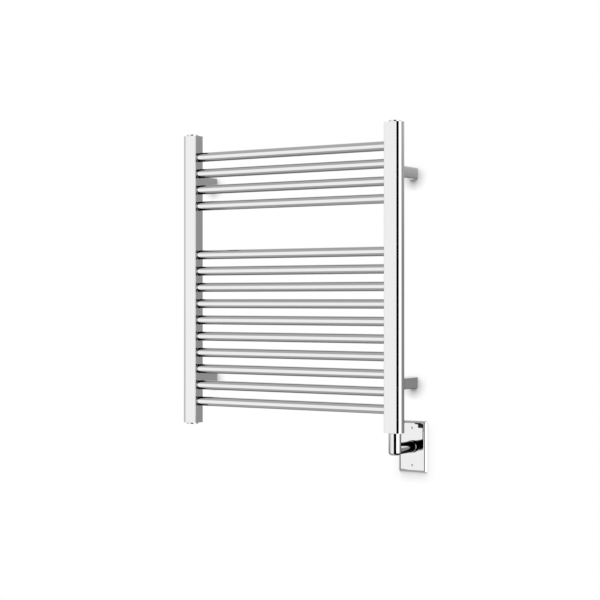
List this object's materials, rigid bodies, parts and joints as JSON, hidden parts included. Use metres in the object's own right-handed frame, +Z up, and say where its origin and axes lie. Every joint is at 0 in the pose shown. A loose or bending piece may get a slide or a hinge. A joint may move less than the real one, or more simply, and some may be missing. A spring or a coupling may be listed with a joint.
{
  "type": "towel warmer rack",
  "caption": "Wall-mounted electric ladder towel warmer in polished chrome: D-section uprights, round rungs with a wide towel gap, telescopic brackets, and an elbowed outlet into a wall plate.",
  "frame": {"origin": "on the wall plane, midway between the four wall bosses", "axes": "+Y into the wall, +Z up, +X to the right as seen from the room"},
  "size_m": [0.6029, 0.101, 0.7763],
  "materials": {
    "polished_chrome": "bright chrome plating on polished steel tube",
    "plain_steel": "bare welded steel and stainless sheath, hidden inside the uprights",
    "zinc_plating": "bright zinc-plated steel, machined",
    "dark_steel": "blackened socket screws",
    "brass": "machined brass",
    "black_rubber": "black sealing rubber",
    "lead_sheath": "heat-resistant light grey lead sheath"
  },
  "bodies": {
    "wall_fixings": {"upper_left_wall_boss": "zinc_plating", "upper_right_wall_boss": "zinc_plating", "lower_left_wall_boss": "zinc_plating", "lower_right_wall_boss": "zinc_plating", "wall_plate": "polished_chrome", "plate_collar": "polished_chrome", "upper_plate_screw": "polished_chrome", "lower_plate_screw": "polished_chrome"},
    "rack": {"left_upright": "polished_chrome", "right_upright": "polished_chrome", "rung_01": "polished_chrome", "rung_02": "polished_chrome", "rung_03": "polished_chrome", "rung_04": "polished_chrome", "rung_05": "polished_chrome", "rung_06": "polished_chrome", "rung_07": "polished_chrome", "rung_08": "polished_chrome", "rung_09": "polished_chrome", "rung_10": "polished_chrome", "rung_11": "polished_chrome", "rung_12": "polished_chrome", "rung_13": "polished_chrome", "rung_14": "polished_chrome", "left_top_closure": "plain_steel", "left_bottom_closure": "plain_steel", "right_top_closure": "plain_steel", "right_bottom_closure": "plain_steel", "air_vent_plug": "polished_chrome", "air_vent_seal": "black_rubber", "top_right_plug": "polished_chrome", "top_right_seal": "black_rubber", "bottom_left_plug": "polished_chrome", "bottom_left_seal": "black_rubber", "upper_left_bracket_arm": "polished_chrome", "upper_right_bracket_arm": "polished_chrome", "lower_left_bracket_arm": "polished_chrome", "lower_right_bracket_arm": "polished_chrome", "upper_left_grub_screw": "dark_steel", "upper_right_grub_screw": "dark_steel", "lower_left_grub_screw": "dark_steel", "lower_right_grub_screw": "dark_steel", "element_head": "brass", "element_rod": "plain_steel", "element_washer": "black_rubber", "outlet_housing": "polished_chrome", "outlet_housing_screw": "dark_steel", "supply_lead": "lead_sheath", "conduit_pipe": "polished_chrome"},
    "air_vent": {"air_vent_screw": "zinc_plating"}
  },
  "joints": [
    {"name": "projection_adjust", "type": "slide", "parent": "wall_fixings", "child": "rack", "axis": [0, -1, 0], "range_m": [0, 0.012]},
    {"name": "air_vent_turn", "type": "hinge", "parent": "rack", "child": "air_vent", "pos_m": [-0.274, -0.086, 0.3426], "axis": [0, 0, 1], "range_deg": [0, 270]}
  ]
}
